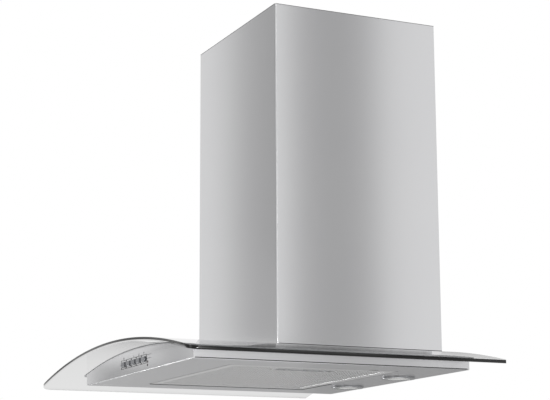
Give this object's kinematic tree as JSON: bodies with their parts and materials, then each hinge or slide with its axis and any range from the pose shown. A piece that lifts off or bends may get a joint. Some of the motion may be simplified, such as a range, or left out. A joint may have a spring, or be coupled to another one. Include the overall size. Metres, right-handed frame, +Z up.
{
  "type": "curved glass range hood",
  "caption": "Wall-hung cooker hood: arched glass canopy over a shallow steel body with push buttons, grease filter and lamps, and a telescopic steel chimney.",
  "frame": {"origin": "on the wall plane, at the middle of the body's lower edge", "axes": "+X along the wall, -Y out from the wall into the room, +Z up"},
  "size_m": [0.6, 0.4495, 0.5138],
  "materials": {
    "clear_glass": "clear toughened glass, ground edges",
    "brushed_steel": "fine satin brushed stainless",
    "zinc_steel": "galvanised",
    "screw_steel": "bright zinc",
    "black_rubber": "matt foam rubber",
    "black_plastic": "moulded, fine texture",
    "grey_plastic": "moulded, fine texture",
    "motor_steel": "pressed steel",
    "pilot_plastic": "clear red",
    "filter_aluminium": "expanded aluminium mesh",
    "latch_plastic": "moulded",
    "button_plastic": "silver lacquered",
    "bezel_chrome": "satin chrome",
    "lens_glass": "frosted"
  },
  "bodies": {
    "hood": {"glass_canopy": "clear_glass", "glass_seal": "black_rubber", "glass_clamps": "zinc_steel", "hood_pan": "brushed_steel", "front_panel": "brushed_steel", "top_plate": "brushed_steel", "motor_cabinet": "zinc_steel", "cabinet_screws": "screw_steel", "wall_plate": "zinc_steel", "wall_rivets": "screw_steel", "fan_housing_left": "black_plastic", "fan_housing_right": "black_plastic", "inlet_rings": "black_plastic", "motor": "motor_steel", "motor_arms": "zinc_steel", "motor_bushes": "black_rubber", "outlet_collar": "black_plastic", "collar_screws": "screw_steel", "damper_pin": "screw_steel", "chimney_lower": "brushed_steel", "chimney_clips": "zinc_steel", "terminal_box": "grey_plastic", "cable_gland": "black_plastic", "capacitor": "grey_plastic", "lamp_driver": "black_plastic", "switch_block": "black_plastic", "pilot_lenses": "pilot_plastic", "lamp_bezel_left": "bezel_chrome", "lamp_lens_left": "lens_glass", "lamp_housing_left": "zinc_steel", "lamp_bezel_right": "bezel_chrome", "lamp_lens_right": "lens_glass", "lamp_housing_right": "zinc_steel"},
    "fan": {"impeller": "grey_plastic", "motor_shaft": "screw_steel"},
    "flap_front": {"damper_flap_front": "grey_plastic"},
    "flap_rear": {"damper_flap_rear": "grey_plastic"},
    "upper_cover": {"chimney_upper": "brushed_steel", "chimney_bracket": "zinc_steel", "bracket_screws": "screw_steel"},
    "filter": {"filter_frame": "filter_aluminium", "filter_mesh": "filter_aluminium", "filter_core": "filter_aluminium", "filter_tray": "filter_aluminium"},
    "latch": {"filter_latch": "latch_plastic"},
    "button_off_body": {"button_off": "button_plastic"},
    "button_speed_1_body": {"button_speed_1": "button_plastic"},
    "button_speed_2_body": {"button_speed_2": "button_plastic"},
    "button_speed_3_body": {"button_speed_3": "button_plastic"},
    "button_light_body": {"button_light": "button_plastic"}
  },
  "joints": [
    {"name": "fan_spin", "type": "hinge", "parent": "hood", "child": "fan", "pos_m": [0, -0.111, 0.1434], "axis": [1, 0, 0], "continuous": true},
    {"name": "flap_front_swing", "type": "hinge", "parent": "hood", "child": "flap_front", "pos_m": [0, -0.14, 0.3295], "axis": [-1, 0, 0], "range_deg": [0, 78]},
    {"name": "flap_rear_swing", "type": "hinge", "parent": "hood", "child": "flap_rear", "pos_m": [0, -0.14, 0.3295], "axis": [1, 0, 0], "range_deg": [0, 78]},
    {"name": "upper_cover_slide", "type": "slide", "parent": "hood", "child": "upper_cover", "axis": [0, 0, 1], "range_m": [0, 0.33]},
    {"name": "filter_swing", "type": "hinge", "parent": "hood", "child": "filter", "pos_m": [-0.15, -0.2044, 0], "axis": [0, 1, 0], "range_deg": [0, 75]},
    {"name": "latch_slide", "type": "slide", "parent": "filter", "child": "latch", "axis": [-1, 0, 0], "range_m": [0, 0.0065], "stiffness_N_per_m": 250, "springref_m": -0.002},
    {"name": "button_off_press", "type": "slide", "parent": "hood", "child": "button_off_body", "axis": [0, 1, 0], "range_m": [0, 0.0025], "stiffness_N_per_m": 400, "springref_m": -0.001},
    {"name": "button_speed_1_press", "type": "slide", "parent": "hood", "child": "button_speed_1_body", "axis": [0, 1, 0], "range_m": [0, 0.0025], "stiffness_N_per_m": 400, "springref_m": -0.001},
    {"name": "button_speed_2_press", "type": "slide", "parent": "hood", "child": "button_speed_2_body", "axis": [0, 1, 0], "range_m": [0, 0.0025], "stiffness_N_per_m": 400, "springref_m": -0.001},
    {"name": "button_speed_3_press", "type": "slide", "parent": "hood", "child": "button_speed_3_body", "axis": [0, 1, 0], "range_m": [0, 0.0025], "stiffness_N_per_m": 400, "springref_m": -0.001},
    {"name": "button_light_press", "type": "slide", "parent": "hood", "child": "button_light_body", "axis": [0, 1, 0], "range_m": [0, 0.0025], "stiffness_N_per_m": 400, "springref_m": -0.001}
  ]
}
